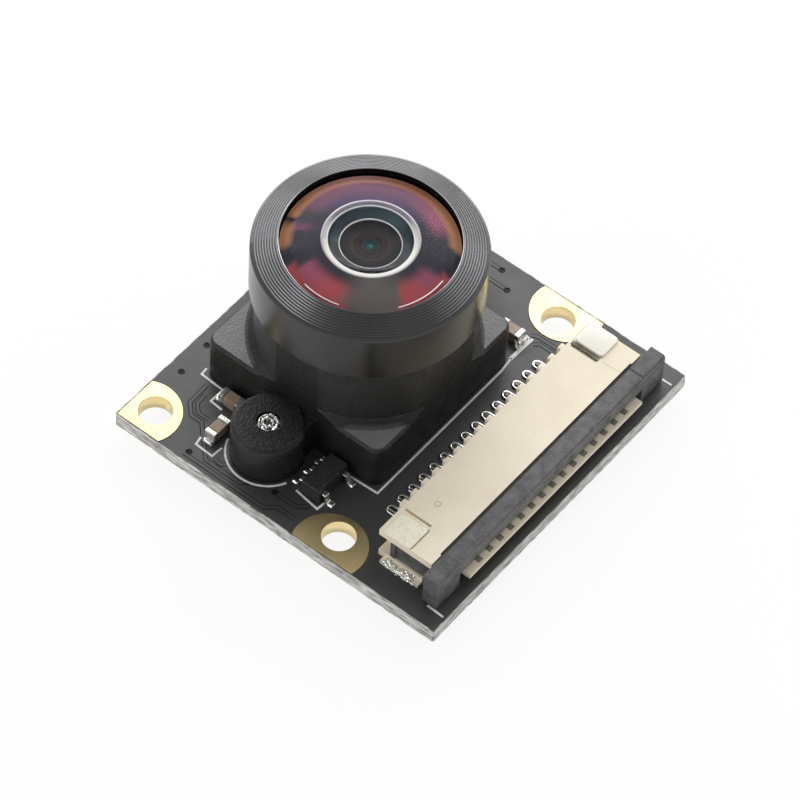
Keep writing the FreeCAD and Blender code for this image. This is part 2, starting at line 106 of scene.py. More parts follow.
def blend(tree, factor, first, second, how="MIX"):
    """Blend two colours."""
    node = tree.nodes.new("ShaderNodeMix")
    node.data_type = "RGBA"
    node.blend_type = how
    for title, value in (("Factor", factor), ("A", first), ("B", second)):
        feed(tree, node.inputs[title], value)
    return node.outputs["Result"]

def show(tree, share, first, second, end):
    """Mix two shaders by a share and send the result to the end of the tree."""
    mix = tree.nodes.new("ShaderNodeMixShader")
    for socket, value in zip(mix.inputs, (share, first, second)):
        tree.links.new(value, socket)
    tree.links.new(mix.outputs[0], end)

def start_material(name, **sockets):
    """A new material, with its tree and its shader. Sockets are named with underscores for blanks."""
    material = bpy.data.materials.new(name)
    material.use_nodes = True
    tree = material.node_tree
    shader = tree.nodes["Principled BSDF"]
    for title, value in sockets.items():
        feed(tree, shader.inputs[title.replace("_", " ")], value)
    return material, tree, shader

print("node helpers ready")

# %% [markdown]
# The module lies on a white sweep. The camera sees the floor and the world as plain white, metal and
# glass mirror the floor as white too, and a soft shadow under the board stays. Light Path tells those
# rays from the rays that carry light, so the white background adds no light of its own.

# %% Floor and world
WHITE = (1, 1, 1)
FLOOR_Z = -0.0001
GLOW_SHARE = 0.9
ROOM_STRENGTH = 0.46
bpy.ops.object.select_all(action="DESELECT")
bpy.ops.mesh.primitive_plane_add(size=3.0, location=(0, 0, FLOOR_Z))
floor = bpy.context.object
floor.name = "floor"
sweep, tree, paper = start_material("white_sweep", Base_Color=(0.93, 0.93, 0.93), Roughness=0.9,
                                    Specular_IOR_Level=0.1)
path = tree.nodes.new("ShaderNodeLightPath")
glow = tree.nodes.new("ShaderNodeEmission")
seen = arithmetic(tree, "ADD", path.outputs["Is Camera Ray"], path.outputs["Is Glossy Ray"])
share = arithmetic(tree, "MULTIPLY", seen, GLOW_SHARE, clamp=True)
show(tree, share, paper.outputs[0], glow.outputs[0], tree.nodes["Material Output"].inputs["Surface"])
floor.data.materials.append(sweep)

world = bpy.data.worlds.new("soft_room")
bpy.context.scene.world = world
world.use_nodes = True
tree = world.node_tree
room = tree.nodes["Background"]
white = tree.nodes.new("ShaderNodeBackground")
feed(tree, room.inputs["Color"], WHITE)
feed(tree, room.inputs["Strength"], ROOM_STRENGTH)
feed(tree, white.inputs["Color"], WHITE)
path = tree.nodes.new("ShaderNodeLightPath")
show(tree, path.outputs["Is Camera Ray"], room.outputs[0], white.outputs[0],
     tree.nodes["World Output"].inputs["Surface"])
bpy.context.scene.view_settings.view_transform = "Standard"
print("floor at", FLOOR_Z)

# %% [markdown]
# The photograph's light comes from a wide, rather low softbox behind the module: what faces up or away
# is pale with sheen, and the faces towards the camera stay nearly black. The pad nearest the camera
# is darker than the others, because its mirror ray already passes over the softbox's upper edge. Two
# weaker lamps open the sides.

# %% Lamps
def softbox(name, place, width, height, power):
    """A rectangular area lamp that faces the module."""
    data = bpy.data.lights.new(name, "AREA")
    data.shape = "RECTANGLE"
    data.size = width
    data.size_y = height
    data.energy = power
    lamp = bpy.data.objects.new(name, data)
    bpy.context.scene.collection.objects.link(lamp)
    lamp.location = place
    lamp.rotation_euler = (-Vector(place)).to_track_quat("-Z", "Y").to_euler()

softbox("back_softbox", (0.320, 0.226, 0.234), 0.72, 0.42, 2.9)
softbox("left_softbox", (-0.34, 0.16, 0.20), 0.24, 0.24, 0.35)
softbox("right_softbox", (0.30, -0.26, 0.22), 0.22, 0.22, 0.25)

# %% [markdown]
# Every finish here starts from the same idea: a real surface is never one colour, it has soft clouds
# of tone and a fine grain. One shader group gives both, so each material only chooses its scale.
# Cloud and grain are noise in the piece's own space, so they stay put when the piece moves.

# %% Shared grain and cloud group
def surface_group():
    """Noise at two scales: Cloud for colour, Grain for speckle, Height for bump."""
    group = bpy.data.node_groups.new("surface", "ShaderNodeTree")
    face = group.interface
    for title, value in (("Cloud Scale", 300.0), ("Grain Scale", 4000.0), ("Stretch", 1.0)):
        socket = face.new_socket(title, in_out="INPUT", socket_type="NodeSocketFloat")
        socket.default_value = value
    for title in ("Cloud", "Grain", "Height"):
        face.new_socket(title, in_out="OUTPUT", socket_type="NodeSocketFloat")
    start = group.nodes.new("NodeGroupInput")
    end = group.nodes.new("NodeGroupOutput")
    place = group.nodes.new("ShaderNodeTexCoord")
    squash = group.nodes.new("ShaderNodeCombineXYZ")
    for title, value in (("X", 1), ("Y", 1), ("Z", start.outputs["Stretch"])):
        feed(group, squash.inputs[title], value)
    scaled = group.nodes.new("ShaderNodeVectorMath")
    scaled.operation = "MULTIPLY"
    group.links.new(place.outputs["Object"], scaled.inputs[0])
    group.links.new(squash.outputs[0], scaled.inputs[1])
    for title, detail in (("Cloud", 3.0), ("Grain", 2.0)):
        noise = group.nodes.new("ShaderNodeTexNoise")
        noise.inputs["Detail"].default_value = detail
        group.links.new(scaled.outputs[0], noise.inputs["Vector"])
        group.links.new(start.outputs[title + " Scale"], noise.inputs["Scale"])
        spread = span(group, noise.outputs["Fac"], 0.3, 0.7)
        group.links.new(spread, end.inputs[title])
        if title == "Grain":
            group.links.new(spread, end.inputs["Height"])
    return group

surface = surface_group()
print("group:", surface.name)

# %% [markdown]
# A material chooses two colours for the cloud, a third for the speckle, and how rough, how metallic
# and how bumpy it is. The shader stays in the material itself, and only masks come from the group.

# %% Material maker
def finish(name, light, dark, rough, cloud=300.0, grain=4000.0, stretch=1.0, speckle=0.0,
           speckle_colour=(0.5, 0.5, 0.5), bump=0.2, depth=0.01, metal=0.0, gloss=0.5):
    """A material with clouded colour, speckle and fine bump. Depth is in millimetres."""
    material, tree, shader = start_material(name, Metallic=metal, Specular_IOR_Level=gloss)
    grains = tree.nodes.new("ShaderNodeGroup")
    grains.node_tree = surface
    for title, value in (("Cloud Scale", cloud), ("Grain Scale", grain), ("Stretch", stretch)):
        grains.inputs[title].default_value = value
    tone = blend(tree, grains.outputs["Cloud"], dark, light)
    specks = span(tree, grains.outputs["Grain"], 0.62, 1.0, end=speckle)
    feed(tree, shader.inputs["Base Color"], blend(tree, specks, tone, speckle_colour))
    wear = span(tree, grains.outputs["Cloud"], 0.0, 1.0, rough * 1.15, rough * 0.85)
    feed(tree, shader.inputs["Roughness"], wear)
    relief = tree.nodes.new("ShaderNodeBump")
    for title, value in (("Strength", bump), ("Distance", depth * MM), ("Height", grains.outputs["Height"])):
        feed(tree, relief.inputs[title], value)
    feed(tree, shader.inputs["Normal"], relief.outputs[0])
    return material

lacquer = finish("black_lacquer", (0.042, 0.041, 0.043), (0.032, 0.031, 0.033), 0.45, grain=2500,
                 speckle=0.2, speckle_colour=(0.07, 0.07, 0.07), bump=0.1, depth=0.004, gloss=0.7)
fibre = finish("glass_fibre_edge", (0.95, 0.93, 0.89), (0.15, 0.145, 0.135), 0.75, cloud=1100,
               grain=1600, stretch=9.0, speckle=0.85, speckle_colour=(0.85, 0.84, 0.80), bump=0.7,
               depth=0.03)
print("materials:", lacquer.name, fibre.name)

# %% [markdown]
# Most new pieces here are drawn first and made solid afterwards. A pen is easy to make from one
# vertex: it is put at the first point and extruded from point to point. The line is then either
# widened into a printed strip, or spun round the lens's axis into a ring.

# %% Pen, strip and ring
AXIS_Y = 3.05
EAR_Y = 3.4

def open_mesh(piece, name):
    """Name a new piece and go to edit mode with all of it selected."""
    piece.name = name
    bpy.ops.object.mode_set(mode="EDIT")
    bpy.ops.mesh.select_all(action="SELECT")

def pen(name, points):
    """A line of vertices through points in millimetres, left in edit mode."""
    bpy.ops.object.select_all(action="DESELECT")
    bpy.ops.mesh.primitive_plane_add(size=0.001)
    piece = bpy.context.object
    open_mesh(piece, name)
    bpy.ops.mesh.select_mode(type="VERT")
    bpy.ops.mesh.select_all(action="SELECT")
    bpy.ops.mesh.merge(type="CENTER")
    bpy.ops.transform.translate(value=Vector(points[0]) * MM)
    for first, second in zip(points, points[1:]):
        step = (Vector(second) - Vector(first)) * MM
        bpy.ops.mesh.extrude_region_move(TRANSFORM_OT_translate={"value": step})
    return piece

def raise_all(height):
    """Extrude everything upwards, height in millimetres."""
    bpy.ops.mesh.select_all(action="SELECT")
    bpy.ops.mesh.extrude_region_move(TRANSFORM_OT_translate={"value": (0, 0, height * MM)})

def hold(piece):
    """Leave edit mode with this piece alone selected and active."""
    if bpy.context.object and bpy.context.object.mode != "OBJECT":
        bpy.ops.object.mode_set(mode="OBJECT")
    bpy.ops.object.select_all(action="DESELECT")
    piece.select_set(True)
    bpy.context.view_layer.objects.active = piece

def complete(piece, body, slot, *materials, smooth=40, replaces=()):
    """Put the place in the mesh, and give the piece its finish and its body."""
    hold(piece)
    bpy.ops.object.transform_apply(location=True, rotation=True, scale=True)
    bpy.ops.object.shade_smooth_by_angle(angle=math.radians(smooth))
    piece.data.materials.clear()
    for material in materials:
        piece.data.materials.append(material)
    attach(piece, body)
    if replaces:
        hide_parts(*replaces)
    return piece

def modifier(piece, kind, **settings):
    """Add one modifier, set it and apply it."""
    hold(piece)
    step = piece.modifiers.new(kind.lower(), kind)
    for title, value in settings.items():
        setattr(step, title, value)
    bpy.ops.object.modifier_apply(modifier=step.name)

def strip(name, points, width, height, material, slot, body="module"):
    """A flat strip of even width along a line: print, or copper under the lacquer."""
    piece = pen(name, points)
    raise_all(height)
    modifier(piece, "SOLIDIFY", thickness=width * MM, offset=0, use_even_offset=True)
    return complete(piece, body, slot, material)

def ring(name, profile, material, slot, body, steps=96, closed=True, smooth=30, replaces=(), y=AXIS_Y,
         x=0.0):
    """Spin a profile of (radius, height) points about an upright axis, closed into a solid ring."""
    loop = [(x + radius, y, height) for radius, height in profile]
    piece = pen(name, loop + ([loop[0]] if closed else []))
    bpy.ops.mesh.select_all(action="SELECT")
    bpy.ops.mesh.spin(steps=steps, angle=math.tau, center=(x * MM, y * MM, 0), axis=(0, 0, 1))
    bpy.ops.mesh.select_all(action="SELECT")
    bpy.ops.mesh.remove_doubles(threshold=0.000002)
    bpy.ops.mesh.normals_make_consistent(inside=False)
    return complete(piece, body, slot, material, smooth=smooth, replaces=replaces)

def arc(x, y, radius, start, end, steps=24):
    """Points along part of a circle, angles in degrees."""
    turns = [math.radians(start + (end - start) * step / steps) for step in range(steps + 1)]
    return [(x + radius * math.cos(angle), y + radius * math.sin(angle)) for angle in turns]

print("lens axis at y", AXIS_Y, "mm")

# %% [markdown]
# The board's edge is snapped and sawn glass fibre: pale streaks over dark ones, not a clean wall. The
# CAD board is copied, its sides are drawn in by 0.12 of a millimetre, and four rough strips fill
# the room that this leaves. The strips are grids, pushed in and out by noise, with a thickness.

# %% Board and its rough edges
low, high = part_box("circuit_board")
EDGE = 0.12 * MM
hold(nodes["circuit_board"])
bpy.ops.object.duplicate()
board = bpy.context.object
open_mesh(board, "board_laminate")
bpy.ops.mesh.remove_doubles(threshold=0.000001)
bpy.ops.object.mode_set(mode="OBJECT")
bpy.ops.mesh.customdata_custom_splitnormals_clear()
for axis, edge, inward in ((0, low.x, 1), (0, high.x, -1), (1, low.y, 1), (1, high.y, -1)):
    bpy.ops.object.mode_set(mode="EDIT")
    bpy.ops.mesh.select_all(action="DESELECT")
    bpy.ops.object.mode_set(mode="OBJECT")
    for vertex in board.data.vertices:
        vertex.select = abs(vertex.co[axis] - edge) < 0.00001
    bpy.ops.object.mode_set(mode="EDIT")
    move = [0, 0, 0]
    move[axis] = inward * EDGE
    bpy.ops.transform.translate(value=move)
    bpy.ops.object.mode_set(mode="OBJECT")
complete(board, "module", "board_resist", lacquer, fibre, replaces=("circuit_board",))
for polygon in board.data.polygons:
    outer = abs(polygon.center.x) > high.x - 2 * EDGE or abs(polygon.center.y) > high.y - 2 * EDGE
    if abs(polygon.normal.z) < 0.5 and outer:
        polygon.material_index = 1
print(board.name, "faces", len(board.data.polygons))

# %% Rough edge strips
noise_image = bpy.data.textures.new("fibre_break", "CLOUDS")
noise_image.noise_scale = 0.0005
noise_image.noise_depth = 3
STRIP_IN = 0.65 * EDGE
middle_z = (low.z + high.z) / 2

def edge_strip(name, centre, turn, length):
    """A grid standing along one side of the board, roughened inwards and thickened."""
    bpy.ops.object.select_all(action="DESELECT")
    bpy.ops.mesh.primitive_grid_add(x_subdivisions=220, y_subdivisions=10, size=1)
    piece = bpy.context.object
    open_mesh(piece, name)
    bpy.ops.transform.resize(value=(length, high.z - low.z, 1))
    bpy.ops.transform.rotate(value=math.radians(-90), orient_axis="X", center_override=(0, 0, 0))
    bpy.ops.transform.rotate(value=turn, orient_axis="Z", center_override=(0, 0, 0))
    bpy.ops.transform.translate(value=centre)
    modifier(piece, "DISPLACE", texture=noise_image, texture_coords="LOCAL", strength=0.0001,
             direction="X" if turn else "Y", mid_level=0.5)
    modifier(piece, "SOLIDIFY", thickness=0.00004, offset=0)
    return complete(piece, "module", "board_resist", fibre)

width = high.x - low.x - 2 * EDGE
depth = high.y - low.y - 2 * EDGE
edge_strip("edge_fibre_front", (0, low.y + STRIP_IN, middle_z), 0, width)
edge_strip("edge_fibre_back", (0, high.y - STRIP_IN, middle_z), 0, width)
edge_strip("edge_fibre_left", (low.x + STRIP_IN, 0, middle_z), math.pi / 2, depth)
last = edge_strip("edge_fibre_right", (high.x - STRIP_IN, 0, middle_z), math.pi / 2, depth)
print("last edge strip, mm:", [round(value / MM, 2) for value in last.dimensions])

# %% [markdown]
# The three visible mounting pads are thick gold over copper. In the photograph the far ones look
# nearly white, because they mirror the softbox, and the near one is a darker straw yellow. One
# slightly rough gold does both. CAD pieces get their soft edges from modifiers, which leave the mesh
# itself alone: Weld joins its loose triangles, Decimate dissolves flat ones, and Bevel rounds what
# is sharp.

# %% Gold pads
def soften(name, width, materials, segments=2, angle=35):
    """Round a CAD node's edges; the last material is the edge's own, which on the hold-downs is painted
    shade.
    """
    piece = nodes[name]
    piece.data.materials.clear()
    for material in materials:
        piece.data.materials.append(material)
    for polygon in piece.data.polygons:
        polygon.material_index = 0
    weld = piece.modifiers.new("weld", "WELD")
    weld.merge_threshold = 0.000001
    flat = piece.modifiers.new("flat", "DECIMATE")
    flat.decimate_type = "DISSOLVE"
    flat.angle_limit = math.radians(0.5)
    edge = piece.modifiers.new("edge", "BEVEL")
    edge.width = width * MM
    edge.segments = segments
    edge.limit_method = "ANGLE"
    edge.angle_limit = math.radians(angle)
    edge.material = len(materials) - 1
    edge.harden_normals = False

gold = finish("pad_gold", (0.90, 0.74, 0.38), (0.84, 0.66, 0.33), 0.32, cloud=500, grain=5000,
              speckle=0.1, speckle_colour=(1.0, 0.93, 0.6), bump=0.06, depth=0.004, metal=1.0)
gold_edge = finish("pad_gold_edge", (0.35, 0.30, 0.14), (0.25, 0.20, 0.09), 0.4, metal=1.0)
soften("mount_pads", 0.03, (gold, gold_edge), segments=1, angle=50)
print("pads:", len(nodes["mount_pads"].data.polygons), "triangles")

# %% [markdown]
# The holder is glass-filled black plastic. Its tops sparkle with small grains over a painted sheen
# of paler grey, and its edges are rubbed paler. The grain is strong noise in the bump and a speckle in the
# colour.

# %% Lens holder
def painted_top_sheen(material, colour, height):
    """Painted sheen: a paler grey on the faces that look up and lie above a height in millimetres."""
    tree = material.node_tree
    base = tree.nodes["Principled BSDF"].inputs["Base Color"]
    place = tree.nodes.new("ShaderNodeTexCoord")
    amounts = []
    for output, low, high in (("Normal", 0.7, 0.95), ("Object", height * MM, (height + 0.05) * MM)):
        apart = tree.nodes.new("ShaderNodeSeparateXYZ")
        tree.links.new(place.outputs[output], apart.inputs[0])
        amounts.append(span(tree, apart.outputs["Z"], low, high))
    top_sheen_mask = arithmetic(tree, "MULTIPLY", *amounts)
    feed(tree, base, blend(tree, top_sheen_mask, base.links[0].from_socket, colour))

PAINTED_SHEEN_ABOVE = 5.0
holder_black = finish("holder_black", (0.012, 0.012, 0.012), (0.007, 0.007, 0.007), 0.46, cloud=900,
                      grain=6500, speckle=0.35, speckle_colour=(0.06, 0.06, 0.06), bump=0.6,
                      depth=0.035, gloss=0.35)
holder_worn = finish("holder_worn_edge", (0.04, 0.04, 0.04), (0.02, 0.02, 0.02), 0.38, cloud=900,
                     grain=6500, speckle=0.5, speckle_colour=(0.14, 0.14, 0.14), bump=0.4, depth=0.02,
                     gloss=0.35)
# Painted sheen on the holder's upward faces above this height.
painted_top_sheen(holder_black, (0.19, 0.19, 0.19), PAINTED_SHEEN_ABOVE)
soften("lens_holder", 0.10, (holder_black, holder_worn))
steel = finish("screw_steel", (0.62, 0.61, 0.59), (0.42, 0.41, 0.40), 0.25, cloud=1500, grain=7000,
               bump=0.2, depth=0.01, metal=1.0)
soften("holder_screws", 0.05, (steel, steel))
print("holder:", [slot.name for slot in nodes["lens_holder"].data.materials])

# %% [markdown]
# The screws' pointed ends come up through the ears as torn, shiny swirls of steel. The top of a low
# cone of twenty sides is inset three times and pushed down, up and down again, and a displacement of
# noise crumples it. One swirl is modelled and the other is its copy.

# %% Screw ends
def pick_faces(piece, test):
    """Select the faces that pass a test, and stay in edit mode."""
    bpy.ops.object.mode_set(mode="EDIT")
    bpy.ops.mesh.select_mode(type="FACE")
    bpy.ops.mesh.select_all(action="DESELECT")
    bpy.ops.object.mode_set(mode="OBJECT")
    for polygon in piece.data.polygons:
        polygon.select = test(polygon)
    bpy.ops.object.mode_set(mode="EDIT")

def add_copy(piece, name, shift):
    """Another piece with its own mesh, moved by a shift in millimetres."""
    hold(piece)
    bpy.ops.object.duplicate()
    other = bpy.context.object
    other.name = name
    other.location = Vector(shift) * MM
    bpy.ops.object.transform_apply(location=True, rotation=False, scale=False)
    return other

crumple = bpy.data.textures.new("torn_steel", "CLOUDS")
crumple.noise_scale = 0.0003

def crumple_by(piece, strength, mid_level):
    """Push a piece in and out by noise, strength in millimetres."""
    modifier(piece, "DISPLACE", texture=crumple, texture_coords="LOCAL", strength=strength * MM,
             mid_level=mid_level)

EAR_X = 8.5
SCREW_END_Z = 4.63
SCREW_END_HEIGHT = 0.22
bpy.ops.object.select_all(action="DESELECT")
bpy.ops.mesh.primitive_cone_add(
    vertices=20, radius1=0.8 * MM, radius2=0.6 * MM, depth=SCREW_END_HEIGHT * MM,
    location=(-EAR_X * MM, EAR_Y * MM, (SCREW_END_Z + SCREW_END_HEIGHT / 2) * MM))
swirl = bpy.context.object
swirl.name = "screw_end_left"
bpy.ops.object.transform_apply(location=True)
pick_faces(swirl, lambda polygon: polygon.normal.z > 0.9)
for inset, push in ((0.16, -0.13), (0.12, 0.15), (0.10, -0.08)):
    bpy.ops.mesh.inset(thickness=inset * MM)
    bpy.ops.transform.translate(value=(0, 0, push * MM))
modifier(swirl, "SUBSURF", levels=2, render_levels=2)
crumple_by(swirl, 0.22, 0.6)
complete(swirl, "module", "screw_steel", steel, smooth=50)
swirl_right = add_copy(swirl, "screw_end_right", (2 * EAR_X, 0, 0))
complete(swirl_right, "module", "screw_steel", steel, smooth=50)
print(swirl.name, "top", round(max(vertex.co.z for vertex in swirl.data.vertices) / MM, 2))

# %% [markdown]
# Several finishes of the lens depend on the angle round its axis and the distance from it. The angle
# comes from a radial gradient, turned so that it starts at the portrait's left, and a ramp gives each
# angle or distance its colour.

# %% Polar ramps
PORTRAIT_LEFT = -51.3

def polar(tree):
    """Angle round the lens axis as 0 to 1, the distance from it, and the flat place, in millimetres."""
    place = tree.nodes.new("ShaderNodeTexCoord")
    centred = tree.nodes.new("ShaderNodeMapping")
    centred.vector_type = "TEXTURE"
    centred.inputs["Location"].default_value = (0, AXIS_Y * MM, 0)
    centred.inputs["Rotation"].default_value = (0, 0, math.radians(PORTRAIT_LEFT))
    tree.links.new(place.outputs["Object"], centred.inputs["Vector"])
    angle = tree.nodes.new("ShaderNodeTexGradient")
    angle.gradient_type = "RADIAL"
    tree.links.new(centred.outputs[0], angle.inputs["Vector"])
    flat = tree.nodes.new("ShaderNodeVectorMath")
    flat.operation = "MULTIPLY"
    flat.inputs[1].default_value = (1 / MM, 1 / MM, 0)
    tree.links.new(centred.outputs[0], flat.inputs[0])
    reach = tree.nodes.new("ShaderNodeVectorMath")
    reach.operation = "LENGTH"
    tree.links.new(flat.outputs[0], reach.inputs[0])
    return angle.outputs["Fac"], reach.outputs["Value"], flat.outputs[0]

def ramp(tree, factor, stops):
    """A colour ramp from (position, colour) stops. A single number stands for a grey."""
    node = tree.nodes.new("ShaderNodeValToRGB")
    node.color_ramp.interpolation = "EASE"
    tree.links.new(factor, node.inputs["Fac"])
    bands = node.color_ramp.elements
    while len(bands) < len(stops):
        bands.new(0.5)
    for band, (position, colour) in zip(bands, stops):
        band.position = position
        band.color = (*colour, 1) if isinstance(colour, tuple) else (colour, colour, colour, 1)
    return node.outputs["Color"]

# Painted light and shade: this tint darkens a lens finish by where it lies round the axis.
def around_axis(material, *stops):
    """Tint a finish by the angle round the lens axis: left is 0, near is a quarter, right is a half."""
    tree = material.node_tree
    base = tree.nodes["Principled BSDF"].inputs["Base Color"]
    tint = ramp(tree, polar(tree)[0], stops)
    feed(tree, base, blend(tree, 1, base.links[0].from_socket, tint, "MULTIPLY"))

print("polar ramps ready")

# %% [markdown]
# The lens's cap is black anodised aluminium. Its face rises to the glass and is turned with fine
# grooves. Each groove is real: the profile goes down and up across the face before it is spun, so the
# grooves stay true from every side. Their outward walls and the opening's edge carry painted highlights,
# thin pale lines palest to the left and the right as turned metal gathers light in fans, and the rest
# of the face carries a painted sheen, palest on its far side.

# %% Grooved cap
cap_low, cap_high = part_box("front_cap")
CAP_R = 7.0
CAP_INNER_R = 6.32
CAP_EDGE_Z = 13.45
CAP_BEVEL = 0.15
SATIN_PAINTED_SHEEN = 1
PAINTED_HIGHLIGHT = 2
INSIDE = 3
OPENING_R = 5.35
LIP_UNDER_Z = 13.56
POCKET_R = 5.9
POCKET_Z = 11.68
GROOVES = 9
GROOVE_PITCH = 0.155
GROOVE_DEPTH = 0.05
cap_bottom = cap_low.z / MM
opening_z = cap_high.z / MM
cap_black = finish("cap_black", (0.012, 0.012, 0.013), (0.008, 0.008, 0.008), 0.22, cloud=400,
                   grain=5000, speckle=0.1, speckle_colour=(0.03, 0.03, 0.03), bump=0.08,
                   depth=0.003, gloss=0.4)
cap_satin_painted_sheen = finish("cap_satin_painted_sheen", (0.26, 0.26, 0.27), (0.20, 0.20, 0.21), 0.36, cloud=400,
                   grain=5000, speckle=0.15, speckle_colour=(0.32, 0.32, 0.33), bump=0.12,
                   depth=0.004, metal=0.25, gloss=0.9)
# Painted sheen: palest on the face's far side, dark to the left, near and right.
around_axis(cap_satin_painted_sheen, (0.0, 0.10), (0.12, 0.10), (0.25, 0.12), (0.38, 0.10), (0.5, 0.10),
            (0.62, 0.40), (0.70, 1.0), (0.80, 1.0), (0.88, 0.40))
cap_groove_highlight = finish("cap_groove_painted_highlight", (0.72, 0.72, 0.76), (0.55, 0.55, 0.58), 0.3, cloud=400,
                  grain=5000, bump=0.1, depth=0.003, metal=0.5, gloss=0.9)
# Painted highlights on the groove walls: palest to the left and the right, dimmest near.
around_axis(cap_groove_highlight, (0.0, 1.0), (0.09, 0.7), (0.17, 0.14), (0.25, 0.08), (0.33, 0.14), (0.43, 0.7),
            (0.5, 1.0), (0.58, 0.85), (0.66, 0.42), (0.75, 0.38), (0.86, 0.42), (0.93, 0.8))
cap_inside = finish("cap_inside", (0.004, 0.004, 0.004), (0.003, 0.003, 0.003), 0.7, cloud=400,
                    grain=5000, bump=0.1, depth=0.003, gloss=0.1)
slope = (opening_z - CAP_EDGE_Z) / (CAP_R - CAP_BEVEL - OPENING_R)

def face_height(radius):
    """Height of the cap's face at a distance from the axis."""
    return CAP_EDGE_Z + (CAP_R - CAP_BEVEL - radius) * slope

profile = [(CAP_INNER_R, cap_bottom), (CAP_R - 0.05, cap_bottom), (CAP_R, cap_bottom + 0.05),
           (CAP_R, CAP_EDGE_Z - CAP_BEVEL), (CAP_R - 0.05, CAP_EDGE_Z - 0.05)]
radius = CAP_R - CAP_BEVEL
profile.append((radius, face_height(radius)))
for groove in range(GROOVES):
    for share, sunk in ((0.35, 0), (0.3, GROOVE_DEPTH), (0.35, 0)):
        radius -= GROOVE_PITCH * share
        profile.append((radius, face_height(radius) - sunk))
profile += [(OPENING_R + 0.05, face_height(OPENING_R + 0.05)), (OPENING_R, opening_z - 0.05),
            (OPENING_R, LIP_UNDER_Z), (POCKET_R, LIP_UNDER_Z), (POCKET_R, POCKET_Z),
            (CAP_INNER_R, POCKET_Z)]
grooved = ring("grooved_cap", profile, cap_black, "cap_metal", "lens_body", steps=128, smooth=20,
               replaces=("front_cap",))
for material in (cap_satin_painted_sheen, cap_groove_highlight, cap_inside):
    grooved.data.materials.append(material)
# Painted highlights on the opening's edge and on the groove walls that face outwards, painted sheen on the
# rest of the face.
for polygon in grooved.data.polygons:
    across = Vector((polygon.center.x, polygon.center.y - AXIS_Y * MM, 0)) / MM
    outwards = polygon.normal.dot(across.normalized())
    if across.length < OPENING_R + 0.01:
        polygon.material_index = INSIDE
    elif across.length < OPENING_R + 0.06:
        polygon.material_index = PAINTED_HIGHLIGHT
    elif polygon.normal.z > 0.3 and outwards > 0.6 and across.length < CAP_R - 0.2:
        polygon.material_index = PAINTED_HIGHLIGHT
    elif polygon.normal.z > 0.3:
        polygon.material_index = SATIN_PAINTED_SHEEN
print(grooved.name, "faces", len(grooved.data.polygons))

# %% [markdown]
# The front glass is what one looks at first. Through its clear dome one sees the coated surfaces'
# reflections, which shine orange at the rim and turn rose, purple and smoke grey inwards, with red
# patches near the front. These reflections are painted: the colours follow the place on the glass,
# one ramp runs round the rim, one round the middle and one round the inside, and the distance from the axis
# blends them.

# %% Coated glass with painted reflections
ORANGE = (0.55, 0.26, 0.14)
PEACH = (0.66, 0.35, 0.30)
ROSE = (0.17, 0.075, 0.125)
MAUVE = (0.11, 0.06, 0.14)
PURPLE = (0.075, 0.058, 0.12)
RED = (0.47, 0.10, 0.11)
WINE = (0.32, 0.10, 0.16)
SMOKE = (0.050, 0.050, 0.065)
OLIVE = (0.155, 0.142, 0.135)
WAVER = 0.05

coat_painted_reflections, tree, shader = start_material("coated_glass_painted_reflections", Roughness=0.3, Specular_IOR_Level=0.04)
angle, reach, flat = polar(tree)
wave = tree.nodes.new("ShaderNodeTexNoise")
wave.inputs["Scale"].default_value = 0.55
wave.inputs["Detail"].default_value = 2.0
tree.links.new(flat, wave.inputs["Vector"])
centred = arithmetic(tree, "SUBTRACT", angle, WAVER / 2)
shifted = arithmetic(tree, "MULTIPLY_ADD", wave.outputs["Fac"], WAVER, centred)
rim = ramp(tree, shifted, (
    (0.00, ORANGE), (0.02, SMOKE), (0.045, SMOKE), (0.055, RED), (0.185, RED), (0.21, OLIVE),
    (0.30, OLIVE), (0.32, RED), (0.43, RED), (0.44, SMOKE), (0.485, SMOKE), (0.50, ORANGE),
    (0.66, ORANGE), (0.76, PEACH), (0.92, ORANGE), (0.935, SMOKE), (0.96, ORANGE)))
middle = ramp(tree, shifted, (
    (0.00, SMOKE), (0.06, SMOKE), (0.075, WINE), (0.17, RED), (0.205, OLIVE), (0.305, OLIVE),
    (0.33, RED), (0.40, WINE), (0.43, SMOKE), (0.50, SMOKE), (0.56, WINE), (0.66, ROSE),
    (0.78, ROSE), (0.88, ROSE), (0.93, SMOKE), (0.965, ROSE), (0.985, SMOKE)))
inside = ramp(tree, shifted, (
    (0.00, SMOKE), (0.15, SMOKE), (0.25, OLIVE), (0.38, SMOKE), (0.52, SMOKE), (0.62, PURPLE),
    (0.72, MAUVE), (0.84, PURPLE), (0.92, SMOKE)))
inner_part = blend(tree, span(tree, reach, 3.1, 4.1, curve="SMOOTHSTEP"), inside, middle)
painted_reflection_colour = blend(tree, span(tree, reach, 4.35, 4.95, curve="SMOOTHSTEP"), inner_part, rim)
feed(tree, shader.inputs["Base Color"], painted_reflection_colour)
print("coated glass:", len(tree.nodes), "nodes")

# %% Dark glass, ground glass and clear glass
BEVEL_OUT = 2.92
BEVEL_IN = 2.50
bowl_dark = finish("bowl_glass", (0.060, 0.100, 0.115), (0.016, 0.022, 0.036), 0.12, cloud=260,
                   grain=3000, bump=0.02, depth=0.002, gloss=0.12)
